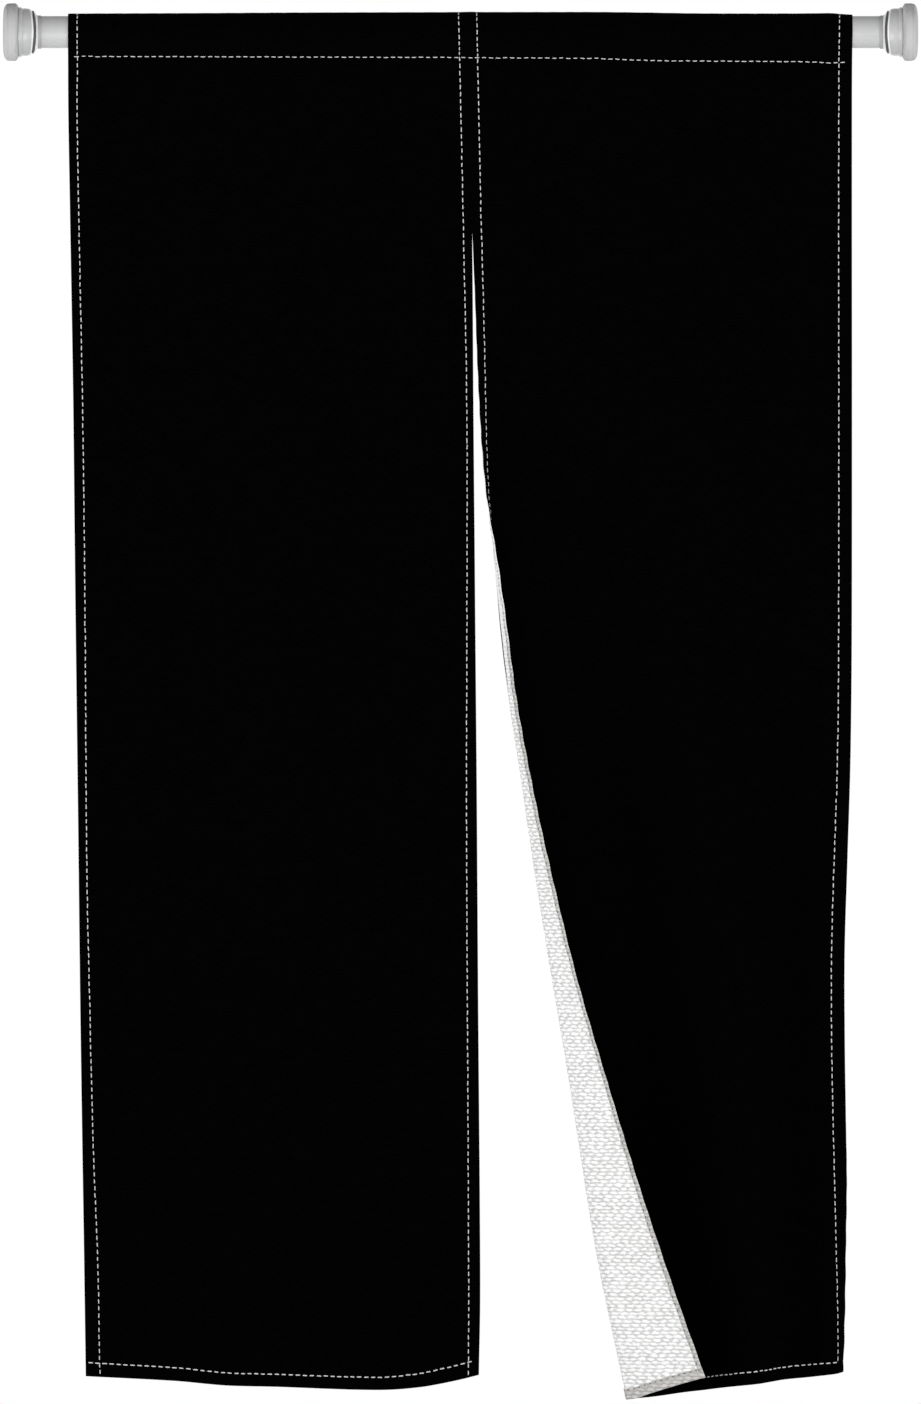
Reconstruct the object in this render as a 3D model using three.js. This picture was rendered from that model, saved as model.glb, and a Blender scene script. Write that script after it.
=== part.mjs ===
// Noren curtain on a tension rod: two black cloth panels hang side by side from a pocket round the rod.
// The slit between them opens about a quarter of a metre below the rod, and the inner lower part of the
// right panel is turned forward, so that its reverse shows.
// Millimetres, +Z up. The origin is the centre of the left pad's wall face, +X runs along the rod to the
// right as seen from the front, and the front faces -Y.
import * as THREE from "three";

// Rod and end caps
const SPAN = 994;
const SIDES = 32;
const TUBE_R = 17.4;
const TUBE_WALL = 1.2;
const TUBE_END = 26.3;
const SOCKET_R = 17.7;

// Cloth
const CLOTH = 1.5;
const HEM_EXTRA = 0.9;
const HEM_STEP = 0.7;
const HEM_PAST_STITCH = 1.5;
const BOTTOM_HEM = 14.5;
const LAYER_GAP = 0.4;
const TAIL = 8;
const HEMS_BEGIN = 14;
const SEAM_GAP = 0.3;
const CURL_LENGTH = 14;
const CURL_R = 10;

// Cap profiles from the wall inwards: distance from the wall, radius. Each runs round its section once.
const PAD = [
  [0, 0],
  [0, 17],
  [0.6, 24],
  [1.6, 27.5],
  [3.2, 30],
  [5.4, 31.3],
  [14, 31.3],
  [16.4, 28.2],
  [16.4, 0],
];
const CAP = [
  [16.7, 0],
  [16.7, 27.2],
  [19.6, 27],
  [20.6, 25.9],
  [27.6, 25.7],
  [29.6, 25],
  [31, 23.4],
  [31, SOCKET_R],
  [26, SOCKET_R],
  [26, 0],
];
const RING = [
  [31.3, SOCKET_R],
  [31.3, 22.9],
  [31.8, 23.4],
  [33.1, 23.2],
  [33.4, 22.5],
  [33.4, SOCKET_R],
  [31.3, SOCKET_R],
];
const COLLAR = [
  [33.7, SOCKET_R],
  [33.7, 21.9],
  [35.4, 21.3],
  [37, 18.9],
  [39.7, 18.6],
  [39.7, SOCKET_R],
  [33.7, SOCKET_R],
];

// Reads one column of a table at a place between its rows, smoothly. Beyond its ends the last row holds.
class Table {
  constructor(columns, rows) {
    this.columns = columns;
    this.rows = rows;
  }

  slope(i, c) {
    const before = this.rows[Math.max(i - 1, 0)];
    const after = this.rows[Math.min(i + 1, this.rows.length - 1)];
    return (after[c] - before[c]) / (after[0] - before[0]);
  }

  at(place, column) {
    const c = this.columns.indexOf(column);
    const last = this.rows.length - 1;
    if (place <= this.rows[0][0]) return this.rows[0][c];
    if (place >= this.rows[last][0]) return this.rows[last][c];
    const i = this.rows.findIndex((row) => row[0] > place) - 1;
    const span = this.rows[i + 1][0] - this.rows[i][0];
    const t = (place - this.rows[i][0]) / span;
    const rise = this.rows[i + 1][c] - this.rows[i][c];
    const a = this.slope(i, c) * span - rise;
    const b = rise - this.slope(i + 1, c) * span;
    return this.rows[i][c] + rise * t + t * (1 - t) * (a * (1 - t) + b * t);
  }
}

// Outer edges: down is the depth below the rod's axis, x the edge, hem the distance from the edge to its
// stitching, curl the angle at which the edge turns to the back.
const LEFT_OUTER = new Table(
  ["down", "x", "hem", "curl"],
  [
    [-20, 71.7, 9.4, 0],
    [75, 71.8, 8.4, 0],
    [180, 73.8, 8.1, 0],
    [400, 77, 9.2, 0],
    [620, 79.3, 9.7, 0],
    [900, 83, 8, 0],
    [1050, 85.1, 8.7, 0],
    [1215, 87.2, 11, 0],
    [1325, 89, 13.2, 0],
    [1460, 90.8, 14.2, 0],
  ],
);
const RIGHT_OUTER = new Table(
  ["down", "x", "hem", "curl"],
  [
    [-20, 922.1, 13.6, 0],
    [75, 921.6, 13.6, 0],
    [640, 921.5, 13.6, 0],
    [790, 920.2, 13.6, 0],
    [900, 916.8, 13.8, 0],
    [1000, 913.7, 13.6, 0],
    [1090, 914, 13.8, 0],
    [1180, 915.4, 13.6, 4],
    [1250, 915.9, 13.6, 23],
    [1325, 914.6, 13.6, 42],
    [1420, 912.7, 13.6, 62],
    [1456, 912.2, 13.6, 64],
  ],
);

// Inner edges: x and hem as above. The cloth bends forward on a roll of this radius, by the angle turn,
// and flap is the flat width past the roll.
const LEFT_INNER = new Table(
  ["down", "x", "hem", "radius", "turn", "flap"],
  [
    [-20, 505.1, 9.9, 10, 0, 14],
    [226, 509.9, 9.6, 10, 0, 14],
    [400, 511.2, 8.2, 10, 0, 14],
    [620, 513.1, 9.6, 10, 0, 14],
    [840, 515, 11.6, 10, 0, 14],
    [1050, 516.4, 11.8, 10, 0, 14],
    [1270, 518.2, 12.5, 10, 0, 14],
    [1380, 518.6, 12.6, 10, 0, 14],
    [1460, 517.1, 11.4, 10, 0, 14],
  ],
);
const RIGHT_INNER = new Table(
  ["down", "x", "hem", "radius", "turn", "flap"],
  [
    [-20, 505.1, 9.6, 10, 0, 14],
    [215, 509.8, 10, 10, 0, 14],
    [290, 512.6, 10, 10, 18, 14],
    [345, 514.4, 10, 10, 29, 14],
    [400, 517, 10, 10.5, 45, 14],
    [455, 520.7, 10, 11, 62, 14],
    [500, 525.2, 10, 11.5, 79, 14],
    [530, 530.2, 10, 12, 92, 14],
    [575, 538.6, 10, 12, 108, 14.2],
    [640, 548, 10, 12, 117, 14.2],
    [725, 558.6, 10, 12, 115, 14.8],
    [790, 570.4, 10, 12.4, 119, 16.8],
    [900, 593.2, 10, 12.8, 127, 21.9],
    [1010, 619.6, 10, 13, 133, 30.6],
    [1105, 646.4, 10, 13.6, 138, 40.9],
    [1190, 671.4, 10, 14.2, 141, 53],
    [1270, 696.4, 10, 14.7, 142.5, 65],
    [1380, 733.8, 10, 15.4, 144.5, 82],
    [1460, 763.8, 10, 16, 146, 95],
  ],
);

// Cross folds of the hanging part: at is the place between the roll (0) and the outer hem (1), back how
// far it stands to the back, as a share of the depth that takes up the cloth's full width.
const LEFT_FOLDS = new Table(
  ["at", "back"],
  [
    [0, 0],
    [0.2, 0.7],
    [0.46, -0.9],
    [0.73, 1],
    [1, 0],
  ],
);
const RIGHT_FOLDS = new Table(
  ["at", "back"],
  [
    [0, 0],
    [0.27, 1],
    [0.56, -0.9],
    [0.83, 0.55],
    [1, 0],
  ],
);

// Pocket stitching and bottom edge: across is the width of cloth from the outer edge, down the depth, and
// lift how far the pocket stands off the rod.
const LEFT_STITCH = new Table(
  ["across", "down", "lift"],
  [
    [0, 27.3, 0.7],
    [130, 27.3, 1.3],
    [436, 27.3, 1.7],
  ],
);
const RIGHT_STITCH = new Table(
  ["across", "down", "lift"],
  [
    [0, 32.5, 0.7],
    [21, 33.4, 0.8],
    [56, 31.9, 1],
    [198, 31, 1.3],
    [274, 29.2, 1.5],
    [417, 27.3, 1.7],
  ],
);
const LEFT_BOTTOM = new Table(
  ["across", "down"],
  [
    [0, 1458.7],
    [98, 1464.6],
    [152, 1470],
    [215, 1471.5],
    [326, 1475],
    [371, 1471.5],
    [410, 1464.6],
    [436, 1459],
  ],
);
const RIGHT_BOTTOM = new Table(
  ["across", "down"],
  [
    [0, 1455.4],
    [84, 1464.6],
    [146, 1471.2],
    [191, 1475.5],
    [253, 1482],
    [296, 1485.2],
    [334, 1479.8],
    [383, 1468.2],
    [417, 1459.7],
  ],
);

// A panel: side is +1 where its outer edge is on the right, width the cloth's full width, and columns the
// widths at which evenly spaced columns begin, with their number up to the next.
const LEFT = {
  side: -1,
  width: 435.5,
  outer: LEFT_OUTER,
  inner: LEFT_INNER,
  folds: LEFT_FOLDS,
  stitch: LEFT_STITCH,
  bottom: LEFT_BOTTOM,
  columns: [
    [20, 16],
    [418, 0],
  ],
};
const RIGHT = {
  side: 1,
  width: 417,
  outer: RIGHT_OUTER,
  inner: RIGHT_INNER,
  folds: RIGHT_FOLDS,
  stitch: RIGHT_STITCH,
  bottom: RIGHT_BOTTOM,
  columns: [
    [22, 12],
    [265, 16],
    [400, 0],
  ],
};

// Shares of the way from the pocket stitching to the bottom edge, down to the bottom hem
const BODY_ROWS = [
  0.004, 0.009, 0.011, 0.03, 0.07, 0.12, 0.17, 0.215, 0.26, 0.3, 0.34, 0.38, 0.43, 0.49, 0.55, 0.61, 0.67,
  0.73, 0.79, 0.845, 0.9, 0.95,
];
const POCKET_STEPS = 14;
const WAVE_STEPS = 120;

function mesh(name, geometry, colour, roughness, metalness) {
  const material = new THREE.MeshStandardMaterial({ color: colour, roughness, metalness });
  const made = new THREE.Mesh(geometry, material);
  made.name = name;
  return made;
}

// A turned piece about the rod's axis: its profile's first number runs along +X.
function turned(name, profile, colour, roughness, metalness) {
  const points = profile.map(([along, radius]) => new THREE.Vector2(radius, along));
  const made = mesh(name, new THREE.LatheGeometry(points, SIDES), colour, roughness, metalness);
  made.rotation.z = -Math.PI / 2;
  return made;
}

function endCap(side) {
  const group = new THREE.Group();
  group.add(turned("pad_" + side, PAD, 0xc4c5c6, 0.7, 0));
  group.add(turned("cap_" + side, CAP, 0xc8cbcc, 0.45, 0));
  group.add(turned("ring_" + side, RING, 0x55585a, 0.6, 0));
  group.add(turned("collar_" + side, COLLAR, 0xebecee, 0.4, 0));
  return group;
}

// Depth of the cross folds at a place between the roll and the outer hem, for a depth of 1
function foldHeight(folds, t) {
  const rows = folds.rows;
  const i = Math.min(rows.findIndex((row) => row[0] > t) - 1, rows.length - 2);
  if (i < 0) return rows[rows.length - 1][1];
  const part = (t - rows[i][0]) / (rows[i + 1][0] - rows[i][0]);
  return rows[i][1] + (rows[i + 1][1] - rows[i][1]) * (0.5 - 0.5 * Math.cos(Math.PI * part));
}

// Points along the hanging part from the outer hem to the roll, with the length so far
function wave(folds, from, to, deep) {
  const points = [];
  let length = 0;
  for (let i = 0; i <= WAVE_STEPS; i++) {
    const t = 1 - i / WAVE_STEPS;
    const x = to + (from - to) * t;
    const y = deep * foldHeight(folds, t);
    if (i) length += Math.hypot(x - points[i - 1].x, y - points[i - 1].y);
    points.push({ x, y, length });
  }
  return points;
}

// The fold depth at which the hanging part uses up the given length of cloth
function foldDepth(folds, from, to, length) {
  let low = 0;
  let high = 80;
  for (let i = 0; i < 30; i++) {
    const middle = (low + high) / 2;
    if (wave(folds, from, to, middle)[WAVE_STEPS].length > length) high = middle;
    else low = middle;
  }
  return low;
}

function between(a, b, t) {
  return a + (b - a) * t;
}

// Depth of the cloth at a width past the outer edge and a share of the way to the bottom edge
function depth(panel, across, share) {
  return between(panel.stitch.at(across, "down"), panel.bottom.at(across, "down"), share);
}

// One level section of a panel, as a function from the width of cloth past the outer edge to x and y.
// x runs outwards from the seam side, y to the back.
function section(panel, share) {
  const width = panel.width;
  const outerDown = depth(panel, 0, share);
  const innerDown = depth(panel, width, share);
  const curl = THREE.MathUtils.degToRad(Math.max(panel.outer.at(outerDown, "curl"), 0));
  const turn = THREE.MathUtils.degToRad(Math.max(panel.inner.at(innerDown, "turn"), 0));
  const radius = panel.inner.at(innerDown, "radius");
  const flap = panel.inner.at(innerDown, "flap");
  const outerX = panel.side * panel.outer.at(outerDown, "x");
  const innerX = panel.side * panel.inner.at(innerDown, "x") + SEAM_GAP / 2;
  const rollX = innerX + radius * Math.sin(turn) + flap * Math.cos(turn);
  const waveX = outerX - CURL_LENGTH * Math.cos(curl) - CURL_R * Math.sin(curl);
  const rest = width - CURL_LENGTH - CURL_R * curl - radius * turn - flap;
  const settled = THREE.MathUtils.smoothstep(share, 0.008, 0.1);
  const points = wave(panel.folds, waveX, rollX, settled * foldDepth(panel.folds, waveX, rollX, rest));
  const hanging = points[WAVE_STEPS].length;
  const total = CURL_LENGTH + CURL_R * curl + hanging + radius * turn + flap;
  return (across) => {
    let u = (across * total) / width;
    if (u <= CURL_LENGTH) {
      const back = CURL_R * (1 - Math.cos(curl)) + (CURL_LENGTH - u) * Math.sin(curl);
      return [outerX - u * Math.cos(curl), back];
    }
    u -= CURL_LENGTH;
    if (u < CURL_R * curl) {
      const angle = curl - u / CURL_R;
      return [waveX + CURL_R * Math.sin(angle), CURL_R * (1 - Math.cos(angle))];
    }
    u -= CURL_R * curl;
    if (u < hanging) {
      const i = points.findIndex((point) => point.length > u);
      const t = (u - points[i - 1].length) / (points[i].length - points[i - 1].length);
      return [between(points[i - 1].x, points[i].x, t), between(points[i - 1].y, points[i].y, t)];
    }
    u -= hanging;
    const angle = Math.min(u / radius, turn);
    const x = rollX - radius * Math.sin(angle);
    const y = radius * (Math.cos(angle) - 1);
    u -= radius * turn;
    if (u < 0) return [x, y];
    return [x - u * Math.cos(turn), y - u * Math.sin(turn)];
  };
}

// Widths of cloth at which a row has its columns: two close ones make the step of each side hem.
function columnsAt(panel, outerHem, innerHem) {
  const places = [0, outerHem / 2, outerHem, outerHem + HEM_STEP];
  panel.columns.slice(0, -1).forEach(([start, count], i) => {
    const end = panel.columns[i + 1][0];
    for (let k = 0; k < count; k++) places.push(between(start, end, k / count));
  });
  const inner = panel.width - innerHem;
  places.push(inner - HEM_STEP, inner, panel.width - innerHem / 2, panel.width);
  return places;
}

// A row of the middle of the cloth below the pocket stitching
function bodyRow(panel, share, hemmed) {
  const place = section(panel, share);
  const outerHem = panel.outer.at(depth(panel, 0, share), "hem") + HEM_PAST_STITCH;
  const innerHem = panel.inner.at(depth(panel, panel.width, share), "hem") + HEM_PAST_STITCH;
  return columnsAt(panel, outerHem, innerHem).map((across, j, all) => {
    const [x, y] = place(across);
    const inSideHem = j < 3 || j > all.length - 4;
    return {
      point: new THREE.Vector3(panel.side * x, y - (CLOTH + LAYER_GAP) / 2, -depth(panel, across, share)),
      extra: hemmed === "all" || (hemmed === "sides" && inSideHem) ? HEM_EXTRA : 0,
    };
  });
}

// Side view of the pocket, as y and z from the front stitching over the rod to the end of the tail
function pocketPath(stitchDown, lift) {
  const radius = TUBE_R + lift + CLOTH / 2;
  const half = (CLOTH + LAYER_GAP) / 2;
  const reach = Math.hypot(half, stitchDown);
  const start = Math.acos(radius / reach) + Math.atan2(half, stitchDown);
  const path = [];
  for (let i = 0; i <= POCKET_STEPS; i++) {
    const angle = between(start, 2 * Math.PI - start, i / POCKET_STEPS);
    path.push([-radius * Math.sin(angle), -radius * Math.cos(angle)]);
  }
  const front = [-half, -stitchDown];
  const back = [half, -stitchDown];
  const middle = (a, b) => [(a[0] + b[0]) / 2, (a[1] + b[1]) / 2];
  path.unshift(middle(front, path[0]));
  path.push(middle(path[path.length - 1], back), back, [half, -stitchDown - TAIL]);
  return path;
}

function pocketRows(panel) {
  const outerHem = panel.outer.at(0, "hem") + HEM_PAST_STITCH;
  const innerHem = panel.inner.at(0, "hem") + HEM_PAST_STITCH;
  const columns = columnsAt(panel, outerHem, innerHem);
  const paths = columns.map((across) =>
    pocketPath(panel.stitch.at(across, "down"), panel.stitch.at(across, "lift")),
  );
  return paths[0].map((unused, i) =>
    columns.map((across, j) => {
      const [y, z] = paths[j][i];
      const outerX = panel.outer.at(-z, "x");
      const innerX = panel.inner.at(-z, "x") + (panel.side * SEAM_GAP) / 2;
      return { point: new THREE.Vector3(between(outerX, innerX, across / panel.width), y, z), extra: 0 };
    }),
  );
}

// Direction of the front face at a grid point, from its neighbours
function facing(rows, i, j, side) {
  const left = rows[i][Math.max(j - 1, 0)].point;
  const right = rows[i][Math.min(j + 1, rows[i].length - 1)].point;
  const below = rows[Math.max(i - 1, 0)][j].point;
  const above = rows[Math.min(i + 1, rows.length - 1)][j].point;
  const across = new THREE.Vector3().subVectors(right, left);
  const up = new THREE.Vector3().subVectors(above, below);
  return across.cross(up).multiplyScalar(-side).normalize();
}

// Closes a grid of points into a sheet: a front face, a back face, thicker at the hems, and a rim.
function sheet(rows, side) {
  const count = rows[0].length;
  const positions = [];
  rows.forEach((row, i) =>
    row.forEach(({ point, extra }, j) => {
      const out = facing(rows, i, j, side);
      const front = point.clone().addScaledVector(out, CLOTH / 2);
      const back = point.clone().addScaledVector(out, -CLOTH / 2 - extra);
      positions.push(...front.toArray(), ...back.toArray());
    }),
  );
  const at = (i, j, face) => 2 * (i * count + j) + face;
  const index = [];
  const quad = (a, b, c, d) => {
    if (side > 0) index.push(a, c, b, a, d, c);
    else index.push(a, b, c, a, c, d);
  };
  for (let i = 0; i < rows.length - 1; i++) {
    for (let j = 0; j < count - 1; j++) {
      quad(at(i, j, 0), at(i, j + 1, 0), at(i + 1, j + 1, 0), at(i + 1, j, 0));
      quad(at(i, j, 1), at(i + 1, j, 1), at(i + 1, j + 1, 1), at(i, j + 1, 1));
    }
    quad(at(i, 0, 0), at(i + 1, 0, 0), at(i + 1, 0, 1), at(i, 0, 1));
    quad(at(i, count - 1, 0), at(i, count - 1, 1), at(i + 1, count - 1, 1), at(i + 1, count - 1, 0));
  }
  const last = rows.length - 1;
  for (let j = 0; j < count - 1; j++) {
    quad(at(0, j, 0), at(0, j, 1), at(0, j + 1, 1), at(0, j + 1, 0));
    quad(at(last, j, 0), at(last, j + 1, 0), at(last, j + 1, 1), at(last, j, 1));
  }
  const geometry = new THREE.BufferGeometry();
  geometry.setAttribute("position", new THREE.Float32BufferAttribute(positions, 3));
  geometry.setIndex(index);
  geometry.computeVertexNormals();
  return geometry;
}

function panelMesh(name, panel) {
  const length = panel.bottom.at(panel.width / 2, "down") - panel.stitch.at(panel.width / 2, "down");
  const hemShare = 1 - BOTTOM_HEM / length;
  const rows = [bodyRow(panel, 1, "all"), bodyRow(panel, hemShare, "all")];
  rows.push(bodyRow(panel, hemShare - HEM_STEP / length, "sides"));
  for (const share of [...BODY_ROWS].reverse()) {
    rows.push(bodyRow(panel, share, share * length > HEMS_BEGIN ? "sides" : "none"));
  }
  rows.push(bodyRow(panel, 0, "none"), ...pocketRows(panel));
  return mesh(name, sheet(rows, panel.side), 0x0b0b0c, 0.95, 0);
}

const noren = new THREE.Group();

const tube = [
  [TUBE_END, TUBE_R - TUBE_WALL],
  [TUBE_END, TUBE_R],
  [SPAN - TUBE_END, TUBE_R],
  [SPAN - TUBE_END, TUBE_R - TUBE_WALL],
  [TUBE_END, TUBE_R - TUBE_WALL],
];
noren.add(turned("rod_tube", tube, 0xd0d1d2, 0.35, 0));

noren.add(endCap("left"));
const rightEnd = endCap("right");
rightEnd.rotation.z = Math.PI;
rightEnd.position.x = SPAN;
noren.add(rightEnd);

noren.add(panelMesh("panel_left", LEFT));
noren.add(panelMesh("panel_right", RIGHT));

export default noren;
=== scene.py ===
"""A two-panel noren on a tension rod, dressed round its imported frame: black woven cloth with a white reverse,
white running stitch, and a satin white rod with soft end pads. Metres, +Z up, the front faces -Y."""

import math

import bpy
import numpy as np
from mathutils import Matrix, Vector


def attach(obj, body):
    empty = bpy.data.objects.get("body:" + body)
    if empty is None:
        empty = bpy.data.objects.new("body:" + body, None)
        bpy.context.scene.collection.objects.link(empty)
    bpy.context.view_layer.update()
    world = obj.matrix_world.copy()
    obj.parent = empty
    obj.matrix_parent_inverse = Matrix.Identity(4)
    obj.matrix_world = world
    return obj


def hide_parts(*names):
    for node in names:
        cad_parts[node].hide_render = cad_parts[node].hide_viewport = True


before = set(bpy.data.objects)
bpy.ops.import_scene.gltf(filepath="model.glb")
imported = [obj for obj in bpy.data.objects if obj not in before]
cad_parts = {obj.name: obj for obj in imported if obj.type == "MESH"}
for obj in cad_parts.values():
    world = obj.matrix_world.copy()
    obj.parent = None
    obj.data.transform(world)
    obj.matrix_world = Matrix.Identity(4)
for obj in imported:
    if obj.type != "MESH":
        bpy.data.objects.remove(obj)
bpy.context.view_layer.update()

MM = 0.001

# Cloth, in millimetres
FRONT_SKIN = 0.6
REVERSE_SKIN = 0.5
HEM_EXTRA = 0.9
HEM_STEP = 0.6
HEM_PAST_STITCH = 1.5
HEMS_BEGIN = 9.5
HEMS_FULL = 12.0
EDGE_ROUND = 0.7
SEAM_GAP = 0.3
SEAM_END = 205.0
SLIT_START = 238.0
LAYER_OFFSET = 0.95
CURL_LENGTH = 14.0
CURL_RADIUS = 10.0
BODY_LENGTH = 1440.0
POCKET_LENGTH = 138.0
TAIL = 8.0
UV_SPAN = 2.0
BLACK_PAST_TOP = 6.0
POCKET_RADIUS = 17.4 + 0.75
HALF_RIM = 0.3
HEM_TOLERANCE = 0.1
HEM_SHOWS = 0.3

# The cloth's materials, by their place in its list
BLACK, WHITE, HEM = 0, 1, 2

# Thread, in millimetres
PITCH = 7.68
STITCH_LENGTH = 5.0
STITCH_WIDTH = 1.05
STITCH_HEIGHT = 0.8
BACK_STITCH_LENGTH = 3.0
BACK_STITCH_WIDTH = 1.15
RESTART_DEPTH = 444.0
RESTART_REACH = 9.0
KNOT_REACH = 4.0
KNOT_OFFSET = -0.9
FOOT_STITCH_WIDTH = 1.25
LEFT_HEAD_LAY = 0.3
RIGHT_HEAD_LAY = -0.33
KNOT_LENGTH = 2.4
END_CLEAR = 1.5
THREAD_SUNK = 0.1
DOTS_SUNK = 0.25
HEM_SKIN = REVERSE_SKIN + HEM_EXTRA
GROOVE_DEPTH = 0.3
GROOVE_WIDTH = 1.3

# Rod, in metres
SPAN = 0.994
TUBE_RADIUS = 0.0174
TUBE_WALL = 0.0012
TUBE_END = 0.0263
TURNED_SIDES = 96

# The cap's inner end, in millimetres: how far it bows, and the radius at which it doesn't
BOW = 2.5
BOW_RADIUS = 23.4

# The photograph's frame: pixels, the real size of one, and the rod's axis and left pad in it
FRAME_WIDTH_PX = 921
FRAME_HEIGHT_PX = 1404
PIXEL = 0.0010866
LEFT_PAD_PX = 3.1
ROD_AXIS_PX = 32.1
LENS = 800.0
SENSOR = 36.0
FLOOR_DEPTH = -1.95
FLOOR_RADIUS = 2.4


class Table:
    """Rows of numbers read smoothly by their first column. Beyond its ends the last row holds."""

    def __init__(self, columns, *rows):
        self.columns = columns.split()
        self.rows = np.array(rows, float)

    def at(self, place, column):
        keys, values = self.rows[:, 0], self.rows[:, self.columns.index(column)]
        before = np.maximum(np.arange(len(keys)) - 1, 0)
        after = np.minimum(np.arange(len(keys)) + 1, len(keys) - 1)
        slopes = (values[after] - values[before]) / (keys[after] - keys[before])
        place = np.clip(np.asarray(place, float), keys[0], keys[-1])
        i = np.clip(np.searchsorted(keys, place, side="right") - 1, 0, len(keys) - 2)
        span, rise = keys[i + 1] - keys[i], values[i + 1] - values[i]
        t = (place - keys[i]) / span
        a = slopes[i] * span - rise
        b = rise - slopes[i + 1] * span
        return values[i] + rise * t + t * (1 - t) * (a * (1 - t) + b * t)


# Outer edges: depth below the rod, the edge's x, the edge's distance to its stitching, and the angle at which
# the hem turns to the back
LEFT_OUTER = Table(
    "down x hem curl",
    [-20, 70.6, 10.6, 0],
    [75, 70.7, 9.6, 0],
    [180, 72.4, 9.4, 0],
    [400, 76.1, 10.1, 0],
    [620, 78.5, 10.4, 0],
    [900, 82, 8.9, 0],
    [1050, 83.7, 10.3, 0],
    [1215, 86.1, 12, 0],
    [1325, 87.9, 14.6, 0],
    [1460, 89.8, 15.4, 0],
)
RIGHT_OUTER = Table(
    "down x hem curl",
    [-20, 922.9, 14.4, 0],
    [75, 922.4, 14.4, 0],
    [640, 922.3, 14.4, 0],
    [790, 920.8, 14.2, 0],
    [900, 917.5, 14.5, 0],
    [1000, 914.5, 14.4, 0],
    [1090, 914.6, 14.4, 0],
    [1180, 915.8, 14, 4],
    [1250, 916.8, 14.5, 23],
    [1325, 915.8, 14.8, 42],
    [1420, 913.9, 14.8, 62],
    [1456, 913.2, 14.6, 64],
)

# Inner edges: x and hem as above, then the roll on which the cloth bends forward, by the angle turn, and the
# flat width past it
LEFT_INNER = Table(
    "down x hem radius turn flap",
    [-20, 505.1, 10.4, 10, 0, 14],
    [226, 509.9, 9.5, 10, 0, 14],
    [400, 511.2, 7.2, 10, 0, 14],
    [620, 513.1, 8.9, 10, 0, 14],
    [840, 515, 11.3, 10, 0, 14],
    [1050, 516.4, 11.8, 10, 0, 14],
    [1270, 518.2, 12.5, 10, 0, 14],
    [1380, 518.6, 12.6, 10, 0, 14],
    [1460, 517.1, 11.4, 10, 0, 14],
)
RIGHT_INNER = Table(
    "down x hem radius turn flap",
    [-20, 505.1, 9.6, 10, 0, 14],
    [215, 509.8, 10, 10, 0, 14],
    [290, 512.6, 9.2, 10, 18, 14],
    [345, 514.4, 9, 10, 29, 14],
    [400, 517, 9, 10.5, 45, 14],
    [455, 520.7, 9.4, 11, 62, 14],
    [500, 525.2, 10, 11.5, 79, 14],
    [530, 530.2, 9.2, 12, 92, 14],
    [575, 538.6, 5.1, 12, 107, 14.2],
    [640, 548, 3.9, 12, 118.5, 14.2],
    [725, 558.2, 5.2, 12, 118, 14.8],
    [790, 569.6, 5.2, 12.4, 119.5, 16.8],
    [900, 592.8, 4.1, 12.8, 127, 21.9],
    [1010, 619.5, 3.2, 13, 133, 30.6],
    [1105, 646, 3.1, 13.6, 138, 40.9],
    [1190, 670.9, 3.8, 14.2, 141, 53],
    [1270, 696.2, 4.3, 14.7, 142.5, 65],
    [1380, 733.7, 4.2, 15.4, 144.5, 82],
    [1460, 763.2, 4.6, 16, 146, 95],
)

# Cross folds between the roll (0) and the outer hem (1), each a share of the depth that takes up the cloth
LEFT_FOLDS = Table("at back", [0, 0], [0.2, 0.7], [0.46, -0.9], [0.73, 1], [1, 0])
RIGHT_FOLDS = Table("at back", [0, 0], [0.27, 1], [0.56, -0.9], [0.83, 0.55], [1, 0])

# Pocket stitching, bottom edge and bottom hem, by the width of cloth from the outer edge
LEFT_STITCH = Table(
    "across down lift",
    [0, 25.9, 1.2],
    [8, 25.9, 1.5],
    [33, 25.9, 1.7],
    [142, 26.1, 2.1],
    [251, 26.4, 2.7],
    [436, 26.9, 3.2],
)
RIGHT_STITCH = Table(
    "across down lift",
    [0, 32.1, 0],
    [6, 32.4, 0.5],
    [12, 32.7, 1.1],
    [20, 33, 1.8],
    [28, 32.9, 2.1],
    [56, 31.8, 1.75],
    [165, 31, 1.8],
    [219, 30.4, 2.65],
    [274, 28.2, 3.3],
    [330, 27.6, 3.3],
    [417, 27.1, 3.2],
)
LEFT_BOTTOM = Table(
    "across down hem",
    [0, 1460.5, 15],
    [98, 1465.9, 14.4],
    [152, 1470.7, 13.8],
    [215, 1471.9, 13.6],
    [326, 1475.7, 13.8],
    [371, 1472.6, 15],
    [410, 1465.4, 16.5],
    [436, 1459, 17],
)
RIGHT_BOTTOM = Table(
    "across down hem",
    [0, 1456.2, 12],
    [50, 1461.7, 13.6],
    [84, 1464.8, 13.6],
    [146, 1470.8, 13.8],
    [191, 1474.7, 13.6],
    [253, 1481.4, 12.8],
    [296, 1485.2, 10.5],
    [308, 1485.5, 10.2],
    [326, 1483.9, 9.8],
    [342, 1479, 9.6],
    [383, 1468, 9.4],
    [417, 1459.7, 9],
)


class Panel:
    """One panel of the noren. side is +1 where its outer edge is on the right as seen from the front."""

    def __init__(self, name, node, side, width, outer, inner, folds, stitch, bottom, seed):
        self.name, self.node, self.side, self.width = name, node, side, width
        self.outer, self.inner, self.folds = outer, inner, folds
        self.stitch, self.bottom, self.seed = stitch, bottom, seed

    def depth(self, across, share):
        top = self.stitch.at(across, "down")
        return top + (self.bottom.at(across, "down") - top) * share

    def outer_hem(self, share):
        return self.outer.at(self.depth(0, share), "hem")

    def inner_hem(self, share):
        return self.inner.at(self.depth(self.width, share), "hem")


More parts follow.
